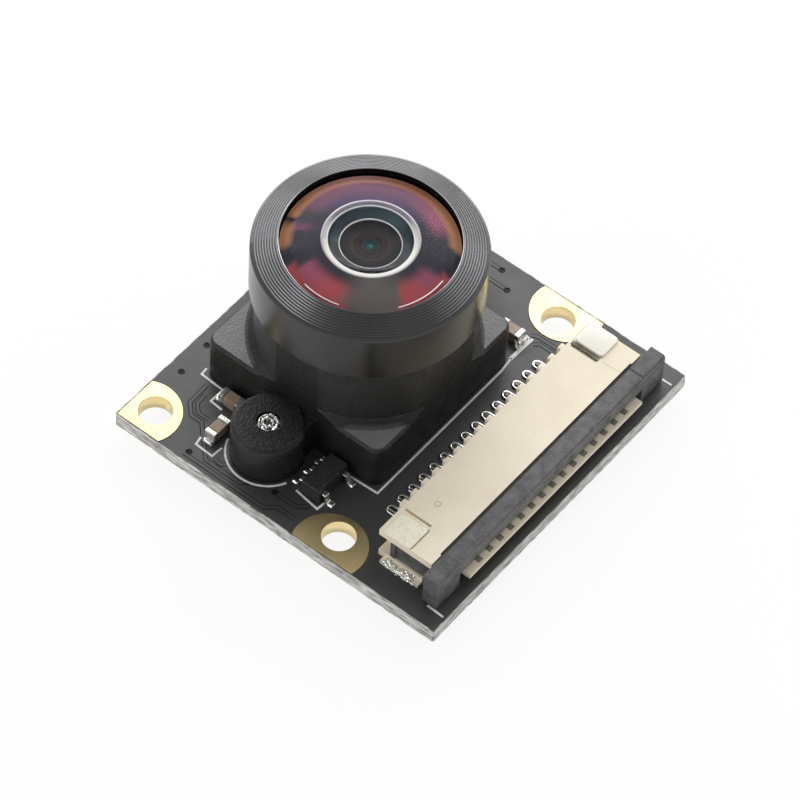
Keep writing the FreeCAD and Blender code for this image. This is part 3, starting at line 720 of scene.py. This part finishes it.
# Painted light: the bowl's glass is darkest near and to the left, and palest on its far side.
around_axis(bowl_dark, (0.0, 0.45), (0.12, 0.25), (0.35, 0.25), (0.5, 0.6), (0.62, 1.0), (0.75, 1.0),
            (0.88, 0.7))
bevel_white, tree, shader = start_material("bevel_glass", Roughness=0.45)
angle, reach = polar(tree)[:2]
across = span(tree, reach, BEVEL_IN, BEVEL_OUT)
thin = ramp(tree, across, (
    (0.00, (0.85, 0.86, 0.84)), (0.10, 0.80), (0.25, (0.10, 0.10, 0.14)), (0.70, (0.20, 0.17, 0.24)),
    (0.85, (0.80, 0.80, 0.82)), (0.97, 0.90)))
broad = ramp(tree, across, (
    (0.00, (0.95, 0.95, 0.88)), (0.45, (0.95, 0.95, 0.90)), (0.75, (0.60, 0.60, 0.58)), (0.90, 0.22),
    (0.97, 0.12)))
# Painted light and shade: broad white to the left, near and right, and on the far side only two pale edges
# over a dark middle.
painted_lit_share = ramp(tree, angle, ((0.00, 0.7), (0.10, 1), (0.42, 1), (0.52, 0.6), (0.62, 0), (0.88, 0),
                            (0.97, 0.5)))
feed(tree, shader.inputs["Base Color"], blend(tree, painted_lit_share, thin, broad))
# One pale finish serves the second element's ground edge and the painted highlights at the glass's near rim.
ground = finish("ground_glass_and_painted_highlight", (0.86, 0.86, 0.84), (0.62, 0.62, 0.62), 0.6, cloud=350, grain=6000,
                speckle=0.2, speckle_colour=(1, 1, 1), bump=0.2, depth=0.006)
clear = start_material("clear_glass", Base_Color=(1.0, 0.99, 0.99), Roughness=0.0,
                       Transmission_Weight=1.0, IOR=1.06)[0]
print("glasses:", bowl_dark.name, bevel_white.name, ground.name, clear.name)

# %% [markdown]
# The glass is built as it looks: a thin clear dome, the coated ring with its painted reflections just
# under it, a ground white bevel with painted light and shade, a dark bowl with painted light that goes
# down to the second element, and that element's own dome with the pupil in it. All of them are spun
# rings and ride on the lens's glass.

# %% Front glass
DOME_R = 5.1
DOME_RIM = 13.52
DOME_WALL = 0.06
COAT_R = 5.3
COAT_SINK = 0.12
COAT_DEPTH = 0.3
dome_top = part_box("front_element")[1].z / MM
rise = dome_top - DOME_RIM
sphere = (DOME_R ** 2 + rise ** 2) / (2 * rise)

def dome_height(radius, sink=0.0):
    """Height of the dome at a distance from the axis, less a sink."""
    return dome_top - sink - sphere + math.sqrt(sphere ** 2 - radius ** 2)

def glass_ring(name, profile, material, **settings):
    """A spun ring that rides on the lens's glass."""
    ring(name, profile, material, "front_glass", "lens_glass", **settings)

outside = [(DOME_R * step / 12, dome_height(DOME_R * step / 12)) for step in range(13)]
underside = [(radius, height - DOME_WALL) for radius, height in reversed(outside)]
glass_ring("front_glass_dome", outside + underside, clear, closed=False, replaces=("front_element",))
coated = []
for step in range(9):
    radius = COAT_R - (COAT_R - BEVEL_OUT) * step / 8
    coated.append((radius, dome_height(min(radius, DOME_R), COAT_SINK)))
shelf = coated[-1][1]
glass_ring("coated_ring_painted_reflections", coated + [(BEVEL_OUT, shelf - COAT_DEPTH), (COAT_R, coated[0][1] - COAT_DEPTH)],
           coat_painted_reflections)
glass_ring("ground_bevel", [(BEVEL_OUT, shelf), (BEVEL_OUT - 0.02, shelf + 0.012),
                            (BEVEL_IN + 0.02, shelf - 0.05), (BEVEL_IN, shelf - 0.08),
                            (BEVEL_IN, shelf - 0.3), (BEVEL_OUT, shelf - 0.3)], bevel_white)
glass_ring("bowl_lip", [(BEVEL_IN, shelf - 0.10), (BEVEL_IN - 0.10, shelf - 0.16),
                        (BEVEL_IN - 0.14, shelf - 0.3), (BEVEL_IN, shelf - 0.3)], bowl_dark)
print("shelf of the bevel at", round(shelf, 2), "mm")

# %% Painted highlights: lit arcs at the near rim of the glass
ARC_R = 4.88
arc_z = dome_height(ARC_R) + 0.01
for name, start, end in (("rim_highlight_left", 168, 197), ("rim_highlight_right", 238, 277)):
    points = [(x, y, arc_z) for x, y in arc(0, AXIS_Y, ARC_R, start, end)]
    strip(name, points, 0.07, 0.02, ground, "front_glass", body="lens_glass")
print("lit arcs at", round(arc_z, 2), "mm")

# %% [markdown]
# The pupil of the second element is a stack of soft rings: a green spark, near black, two brown
# rings and dark glass outside. A ramp over the distance from the axis paints them.

# %% Bowl and second dome
PUPIL_REACH = 2.0
pupil, tree, shader = start_material("pupil_glass", Roughness=0.1, Specular_IOR_Level=0.06)
rings = ramp(tree, arithmetic(tree, "DIVIDE", polar(tree)[1], PUPIL_REACH), (
    (0.00, (0.08, 0.34, 0.24)), (0.05, (0.02, 0.09, 0.075)), (0.17, (0.014, 0.034, 0.036)),
    (0.24, (0.060, 0.036, 0.048)), (0.28, (0.022, 0.022, 0.028)), (0.42, (0.042, 0.032, 0.032)),
    (0.47, (0.026, 0.024, 0.024)), (0.52, (0.050, 0.044, 0.042)), (0.70, (0.028, 0.028, 0.030)),
    (0.90, (0.018, 0.020, 0.027))))
feed(tree, shader.inputs["Base Color"], rings)
BOWL_R = 1.86
EDGE_R = BOWL_R - 0.05
BOWL_FOOT_R = 2.55
bowl_top = shelf - 0.2
bowl_floor = bowl_top - 0.34
glass_ring("front_bowl", [(BEVEL_IN - 0.12, bowl_top), (2.24, bowl_top - 0.08), (2.02, bowl_top - 0.17),
                          (BOWL_R, bowl_top - 0.24), (BOWL_R, bowl_top - 0.75),
                          (BOWL_FOOT_R, bowl_top - 0.75), (BOWL_FOOT_R, bowl_top - 0.14),
                          (BEVEL_IN - 0.02, bowl_top - 0.1)], bowl_dark)
glass_ring("second_glass_edge", [(EDGE_R, bowl_top - 0.21), (BOWL_R, bowl_top - 0.21),
                                 (BOWL_R, bowl_top - 0.30), (EDGE_R, bowl_top - 0.30)], ground)
glass_ring("second_glass_dome", [(0, bowl_floor - 0.12), (0.3, bowl_floor - 0.11), (0.7, bowl_floor - 0.06),
                                 (1.2, bowl_floor - 0.02), (EDGE_R, bowl_floor + 0.03),
                                 (EDGE_R, bowl_floor - 0.2), (0, bowl_floor - 0.25)], pupil)
print("bowl floor at", round(bowl_floor, 2), "mm")

# %% [markdown]
# The inner glass, the barrel, the sensor and the filter hide behind the front glass, but they show
# when the pieces are taken apart, so they get plain optical finishes of their own.

# %% Inner optics
barrel_black = finish("barrel_black", (0.030, 0.030, 0.032), (0.018, 0.018, 0.018), 0.4, cloud=600,
                      grain=5000, bump=0.15, depth=0.004, gloss=0.5)
inner_glass = finish("inner_glass", (0.10, 0.16, 0.15), (0.06, 0.09, 0.10), 0.06, cloud=250,
                     grain=3000, bump=0.02, depth=0.001)
filter_finish = finish("filter_glass", (0.20, 0.32, 0.30), (0.14, 0.22, 0.24), 0.08, cloud=200,
                       grain=3000, bump=0.02, depth=0.001)
package = finish("sensor_package", (0.05, 0.05, 0.055), (0.03, 0.03, 0.03), 0.5, cloud=800,
                 grain=5000, bump=0.2, depth=0.006)
for material, names in (
        (barrel_black, ("lens_barrel", "rear_retainer", "front_spacer", "aperture_stop")),
        (inner_glass, ("second_element", "third_element", "fourth_element", "rear_element")),
        (filter_finish, ("infrared_filter", "sensor_glass")),
        (package, ("image_sensor",))):
    for name in names:
        soften(name, 0.04, (material, material), segments=1)
print("inner pieces finished")

# %% [markdown]
# The connector is two plastics: a warm cream housing, a little mottled, and a slate slider with a
# cloudy grey bloom on top. Tin contacts run through it. Their ends in the cable's slot are tarnished
# olive, while the tails on the board are bright.

# %% Connector
cream = finish("housing_cream", (0.92, 0.83, 0.66), (0.86, 0.76, 0.59), 0.48, cloud=350, grain=3500,
               speckle=0.12, speckle_colour=(0.62, 0.54, 0.40), bump=0.18, depth=0.008)
cream_edge = finish("housing_cream_edge", (0.88, 0.80, 0.66), (0.80, 0.72, 0.57), 0.42, cloud=350,
                    bump=0.1, depth=0.006)
slate = finish("slider_slate", (0.115, 0.113, 0.115), (0.055, 0.054, 0.056), 0.50, cloud=1400,
               grain=6000, speckle=0.3, speckle_colour=(0.20, 0.20, 0.20), bump=0.3, depth=0.012)
slate_edge = finish("slider_slate_edge", (0.15, 0.14, 0.14), (0.09, 0.085, 0.085), 0.45, cloud=1400,
                    grain=6000, speckle=0.4, speckle_colour=(0.3, 0.29, 0.29), bump=0.2, depth=0.01)
tin = finish("contact_tin", (0.16, 0.15, 0.14), (0.05, 0.05, 0.045), 0.30, cloud=2200, grain=7000,
             bump=0.25, depth=0.008, metal=1.0)
olive_tin = finish("contact_nose_tin", (0.27, 0.25, 0.17), (0.18, 0.165, 0.115), 0.5, cloud=2200,
                   grain=7000, bump=0.25, depth=0.008, metal=0.2)
plate_tin = finish("hold_down_tin", (1.0, 0.96, 0.80), (0.97, 0.90, 0.72), 0.42, cloud=1600,
                   grain=5500, speckle=0.35, speckle_colour=(0.52, 0.42, 0.30), bump=0.3, depth=0.008)
# Painted shade: the hold-downs' edges are a darker tin that draws their outline.
plate_edge_painted_shade = finish("hold_down_edge_painted_shade", (0.34, 0.31, 0.25), (0.20, 0.18, 0.14), 0.4, metal=0.6)
NOSES_START_Y = -9.5
soften("connector_housing", 0.06, (cream, cream_edge))
soften("connector_slider", 0.08, (slate, slate_edge))
soften("connector_contacts", 0.04, (tin, olive_tin, tin), segments=1)
for polygon in nodes["connector_contacts"].data.polygons:
    if polygon.center.y < NOSES_START_Y * MM:
        polygon.material_index = 1
soften("connector_hold_downs", 0.04, (plate_tin, plate_edge_painted_shade), segments=1)
print("connector finished")

# %% [markdown]
# Chip parts: brown and tan ceramic with silver ends, black moulded packages with tinned legs.

# %% Chips
ceramic = finish("capacitor_ceramic", (0.40, 0.30, 0.21), (0.30, 0.21, 0.14), 0.4, cloud=1200,
                 grain=5000, bump=0.2, depth=0.006)
black_ceramic = finish("resistor_ceramic", (0.05, 0.05, 0.05), (0.03, 0.03, 0.03), 0.45, cloud=1200,
                       bump=0.2, depth=0.006)
silver = finish("terminal_tin", (0.70, 0.69, 0.66), (0.42, 0.41, 0.39), 0.33, cloud=3000, grain=7000,
                bump=0.4, depth=0.015, metal=1.0)
epoxy = finish("regulator_epoxy", (0.026, 0.026, 0.027), (0.015, 0.015, 0.015), 0.5, cloud=1200,
               grain=6500, speckle=0.4, speckle_colour=(0.08, 0.08, 0.08), bump=0.4, depth=0.015)
lid = finish("oscillator_lid", (0.75, 0.70, 0.58), (0.60, 0.55, 0.45), 0.3, cloud=800, grain=5000,
             bump=0.2, depth=0.006, metal=1.0)
soften("capacitor_bodies", 0.04, (ceramic, ceramic))
soften("resistor_bodies", 0.03, (black_ceramic, black_ceramic), segments=1)
soften("chip_terminals", 0.06, (silver, silver))
soften("regulator_bodies", 0.06, (epoxy, holder_worn))
soften("regulator_leads", 0.03, (silver, silver), segments=1)
soften("clock_oscillator", 0.05, (lid, lid))
print("chips finished")

# %% [markdown]
# Print and copper. The white lines are screen-printed ink, a little rough at the edges. Copper runs
# under the lacquer and only shows as low ridges, so its strips are lacquered too and barely raised,
# each over a wider foot of painted shade that draws its outline.

# %% Printed lines
BOARD_TOP = 1.8
INK_WIDTH = 0.13
INK_HEIGHT = 0.025
ink = finish("white_ink", (0.95, 0.95, 0.93), (0.74, 0.74, 0.73), 0.7, cloud=2500, grain=7000,
             speckle=0.3, speckle_colour=(0.45, 0.45, 0.45), bump=0.3, depth=0.006)

def on_board(name, points, width, height, material):
    """A strip along (x, y) points on the board's top."""
    strip(name, [(x, y, BOARD_TOP) for x, y in points], width, height, material, "board_resist")

lines = {
    "ink_chip_a": [(-6.61, 8.33), (-7.80, 8.35), (-7.88, 7.42)],
    "ink_chip_b": [(-10.21, 7.08), (-10.80, 6.97), (-10.86, 5.69), (-10.03, 5.62)],
    "ink_chip_c": [(8.34, -2.10), (8.30, -3.25)],
    "ink_holder_left": [(-6.72, 8.25), (-6.62, 10.05), (-6.10, 10.10)],
    "ink_holder_front": [(-6.72, -1.26), (-6.62, -3.42), (5.20, -3.40), (6.40, -3.26)],
    "ink_regulator_a": [(-9.55, 0.35), (-9.80, -1.45), (-9.20, -1.50)],
    "ink_tick_left": [(-10.95, -10.60), (-11.00, -11.80)],
    "ink_tick_right": [(11.03, -10.80), (11.05, -11.80)],
    "ink_ear_left": arc(-EAR_X, EAR_Y, 2.5, 108, 246),
    "ink_ear_right": arc(EAR_X, EAR_Y, 2.5, 72, -66),
}
for name, points in lines.items():
    on_board(name, points, INK_WIDTH, INK_HEIGHT, ink)
on_board("ink_chip_c_broad", [(8.37, -3.30), (6.30, -3.24)], 2 * INK_WIDTH, INK_HEIGHT, ink)
print("ink lines:", len(lines) + 1)

# %% Copper under the lacquer
CONTACTS = 15
PITCH = 1.0
FIRST_X = -7.0
raised = finish("lacquered_copper", (0.046, 0.045, 0.047), (0.036, 0.035, 0.037), 0.45, grain=2500,
                bump=0.1, depth=0.003, gloss=0.7)
# Painted shade: near-black lacquer for the feet of the copper runs, the vias' dimples, a groove's edge and
# the slider's step.
painted_shade = finish("lacquer_painted_shade", (0.010, 0.010, 0.010), (0.006, 0.006, 0.006), 0.6, grain=2500,
                bump=0.1, depth=0.003, gloss=0.2)
runs = {
    "trace_a": [(-7.04, 9.29), (-8.66, 9.24), (-9.35, 8.55), (-9.35, 7.75), (-11.3, 5.8), (-11.3, 3.2),
                (-10.5, 2.4)],
    "trace_b": [(-7.60, 8.90), (-8.45, 8.85), (-8.95, 8.35), (-8.95, 7.60)],
    "trace_c": [(-10.9, 5.4), (-11.0, 4.9), (-10.4, 4.3)],
    "trace_d": [(-11.75, 7.1), (-11.75, 1.0), (-11.2, 0.4), (-11.2, -0.9)],
    "trace_e": [(-10.46, 1.05), (-10.46, -0.4), (-9.9, -1.0)],
    "trace_f": [(9.3, 4.9), (10.6, 4.9), (11.36, 4.1), (11.36, 1.5)],
    "trace_g": [(10.34, 0.3), (10.34, 2.2), (9.8, 2.8)],
    "trace_h": [(8.52, -3.05), (8.74, -3.50), (8.74, -4.9)],
    "trace_i": [(8.05, -3.6), (8.35, -3.9), (8.35, -4.9)],
}
for name, points in runs.items():
    on_board(name + "_foot", points, 0.30, 0.006, painted_shade)
    on_board(name, points, 0.19, 0.014, raised)
for column in range(CONTACTS):
    x = FIRST_X + column * PITCH
    on_board("fan_%02d" % column, [(x, -4.62), (x, -4.2), (x + 0.25, -3.95)], 0.16, 0.012, raised)
vias = ((-4.74, 11.23), (-7.25, 11.10), (-11.48, 6.93), (11.36, 1.34), (10.34, 0.15), (-10.46, 1.21))
via_profile = [(0, 0), (0.22, 0), (0.19, 0.02), (0.16, 0.02), (0.12, 0.004), (0, 0.004)]
for number, (x, y) in enumerate(vias):
    ring("via_%d" % number, [(radius, BOARD_TOP + height) for radius, height in via_profile], painted_shade,
         "board_resist", "module", steps=20, y=y, x=x)
print("copper runs:", len(runs) + CONTACTS)

# %% [markdown]
# The hold-downs show on top as pressed plates with rounded corners that lap the housing's ends, the
# right one with a painted highlight, a groove of painted shade beside it and fine edges of painted
# shade at the left one. The moulding tool left marks too: a seam and the round mark of an ejector pin.
# A strip of painted shadow lies at the step where the slider meets the housing.

# %% Plates and mould marks
HOUSING_TOP = 4.3
PLATE_THICKNESS = 0.16

def raised_plate(name, x0, x1, y0, y1, corner, material):
    """A pressed plate with rounded corners on the housing's top."""
    outline = []
    for x, y, start in ((x1 - corner, y1 - corner, 0), (x0 + corner, y1 - corner, 90),
                        (x0 + corner, y0 + corner, 180), (x1 - corner, y0 + corner, 270)):
        outline += arc(x, y, corner, start, start + 90)
    piece = pen(name, [(x, y, HOUSING_TOP) for x, y in outline])
    bpy.ops.mesh.select_all(action="SELECT")
    bpy.ops.mesh.edge_face_add()
    raise_all(PLATE_THICKNESS)
    bpy.ops.mesh.select_all(action="SELECT")
    bpy.ops.mesh.normals_make_consistent(inside=False)
    modifier(piece, "BEVEL", width=0.06 * MM, segments=3, limit_method="ANGLE",
             angle_limit=math.radians(50))
    complete(piece, "module", "terminal_tin", material)

# Painted highlight: the right plate gets a paler, smoother copy of the tin.
plate_tin_painted_highlight = finish("hold_down_painted_highlight", (0.98, 0.95, 0.86), (0.92, 0.89, 0.79), 0.35, cloud=900,
                      speckle=0.1, speckle_colour=(0.70, 0.66, 0.56), bump=0.15, depth=0.006)
seam = finish("housing_seam", (0.66, 0.59, 0.47), (0.58, 0.51, 0.40), 0.6, bump=0.1, depth=0.004)
# Painted shade for the groove beside the right plate and the fine edges round the left one.
groove_painted_shade = finish("plate_groove_painted_shade", (0.26, 0.25, 0.18), (0.12, 0.11, 0.08), 0.6, cloud=1500, bump=0.2,
                      depth=0.006)
raised_plate("plate_left", -10.04, -8.26, -8.40, -6.50, 0.12, plate_tin)
raised_plate("plate_right", 8.26, 10.05, -8.40, -6.32, 0.28, plate_tin_painted_highlight)
for name, points, width, material in (
        ("seam_right", [(8.08, -8.6), (8.15, -9.9)], 0.05, seam),
        ("groove_floor_right", [(8.12, -6.30), (8.12, -8.34)], 0.26, groove_painted_shade),
        ("groove_edge_right", [(7.96, -6.30), (7.96, -8.36)], 0.07, painted_shade),
        ("groove_edge_left", [(-8.22, -6.50), (-8.22, -8.42)], 0.06, groove_painted_shade),
        ("groove_end_left", [(-8.26, -8.43), (-9.9, -8.43)], 0.05, groove_painted_shade)):
    strip(name, [(x, y, HOUSING_TOP) for x, y in points], width, 0.004, material, "housing_cream")
ring("ejector_mark", [(0.13, HOUSING_TOP), (0.22, HOUSING_TOP), (0.21, HOUSING_TOP + 0.008),
                      (0.14, HOUSING_TOP + 0.008)], seam, "housing_cream", "module", steps=24, y=-7.6,
     x=-6.4)
# Painted shadow: a dark strip where the slider meets the housing.
strip("slider_step_painted_shadow", [(x, -9.965, HOUSING_TOP - 0.03) for x in (-9.1, 9.1)], 0.11, 0.035, painted_shade,
      "housing_cream")
print("mould marks on the housing")

# %% [markdown]
# The connector's small repeats: a cream tooth between two contacts at the housing's rear edge, and the
# flattened, tarnished nose of each contact in its slot through the lip. Each is a cube that is
# stretched and bevelled in edit mode, and the rest of its row are copies.

# %% Teeth and noses
def rounded_block(name, centre, size, bevel, shrink=0.0):
    """A cube stretched to a size in millimetres, with rounded edges and, if asked, a smaller top."""
    bpy.ops.object.select_all(action="DESELECT")
    bpy.ops.mesh.primitive_cube_add(size=MM, location=(0, 0, 0))
    piece = bpy.context.object
    open_mesh(piece, name)
    bpy.ops.transform.resize(value=size)
    if shrink:
        pick_faces(piece, lambda polygon: polygon.normal.z > 0.9)
        bpy.ops.transform.resize(value=(shrink, shrink + 0.2, 1))
        bpy.ops.mesh.select_all(action="SELECT")
    bpy.ops.mesh.bevel(offset=bevel * MM, segments=2)
    bpy.ops.mesh.select_all(action="SELECT")
    bpy.ops.transform.translate(value=Vector(centre) * MM)
    return piece

def row_of(first, stem, count, slot, material, smooth=40):
    """Finish a piece and copy it along X, one contact's pitch apart."""
    complete(first, "module", slot, material, smooth=smooth)
    for column in range(1, count):
        copied = add_copy(first, "%s_%02d" % (stem, column), (column * PITCH, 0, 0))
        complete(copied, "module", slot, material, smooth=smooth)

nose = rounded_block("contact_nose_00", (FIRST_X, -10.76, 2.70), (0.40, 1.2, 0.06), 0.015)
row_of(nose, "contact_nose", CONTACTS, "contact_tin", olive_tin)
tooth = rounded_block("housing_tooth_00", (FIRST_X - PITCH / 2, -6.0, 3.55), (0.50, 0.34, 1.3), 0.06)
row_of(tooth, "housing_tooth", CONTACTS + 1, "housing_cream", cream_edge)
print("teeth and noses:", 2 * CONTACTS + 1)

# %% [markdown]
# Solder. Each contact's tail lies in a bright bead that runs round its end like a horseshoe. The
# chips' ends, the packages' legs and the feet of the hold-downs sit in heaps of solder, wider at
# their foot. The heaps at the feet and at one chip are crumpled.

# %% Solder
solder = finish("solder", (0.92, 0.91, 0.88), (0.66, 0.65, 0.62), 0.18, cloud=2500, grain=6000,
                bump=0.3, depth=0.015, metal=1.0)
TAIL_HALF = 0.25
TAIL_END_Y = -4.75
TAIL_START_Y = -5.5
CRUMPLED = ("chip_solder_4", "foot_solder_left", "foot_solder_right")

def solder_bead(name, centre, size):
    """A rounded heap of solder on the board, wider at its foot."""
    piece = rounded_block(name, centre, size, min(size) * 0.3, shrink=0.55)
    modifier(piece, "SUBSURF", levels=1, render_levels=1)
    return complete(piece, "module", "terminal_tin", solder, smooth=60)

def tail_loop(name, x):
    """A bright bead that runs round the end of a contact's tail like a horseshoe."""
    path = [(x - TAIL_HALF, TAIL_START_Y)]
    path += arc(x, TAIL_END_Y, TAIL_HALF, 180, 0, steps=6)
    path += [(x + TAIL_HALF, TAIL_START_Y)]
    piece = pen(name, [(px, py, BOARD_TOP) for px, py in path])
    raise_all(0.11)
    modifier(piece, "SOLIDIFY", thickness=0.17 * MM, offset=0, use_even_offset=True)
    modifier(piece, "BEVEL", width=0.05 * MM, segments=2, limit_method="ANGLE",
             angle_limit=math.radians(50))
    crumple_by(piece, 0.05, 0.5)
    return piece

row_of(tail_loop("tail_solder_00", FIRST_X), "tail_solder", CONTACTS, "contact_tin", solder, smooth=60)
beads = (
    ("chip_solder_0", (-7.2, 8.12, 1.93), (0.8, 0.42, 0.26)),
    ("chip_solder_1", (-7.2, 6.28, 1.93), (0.8, 0.42, 0.26)),
    ("chip_solder_2", (-10.25, 6.5, 1.93), (0.42, 0.8, 0.26)),
    ("chip_solder_3", (-8.45, 6.5, 1.93), (0.42, 0.8, 0.26)),
    ("chip_solder_4", (7.62, -2.92, 2.02), (1.15, 0.62, 0.50)),
    ("chip_solder_5", (7.75, -1.3, 1.93), (0.8, 0.42, 0.26)),
    ("foot_solder_left", (-10.1, -7.9, 1.95), (0.9, 2.6, 0.30)),
    ("foot_solder_right", (10.1, -7.9, 1.95), (0.9, 2.6, 0.30)),
)
for name, centre, size in beads:
    bead = solder_bead(name, centre, size)
    if name in CRUMPLED:
        modifier(bead, "SUBSURF", levels=3, render_levels=3)
        crumple_by(bead, 0.35, 0.55)
        complete(bead, "module", "terminal_tin", solder, smooth=60)
print("solder at tails, chips and feet:", CONTACTS + len(beads))

# %% Solder at the regulators' legs
LEG_PITCH = 0.95
LEG_REACH = 1.33
LEGS = ((0, -1, 1), (1, 0, 1), (2, 1, 1), (3, -1, -1), (5, 1, -1))
for number, (x, y) in enumerate(((-8.05, -0.55), (8.1, 7.3))):
    for leg, column, side in LEGS:
        solder_bead("lead_solder_%d_%d" % (number, leg),
                    (x + column * LEG_PITCH, y + side * LEG_REACH, 1.86), (0.5, 0.42, 0.13))
print("legs soldered on each package:", len(LEGS))
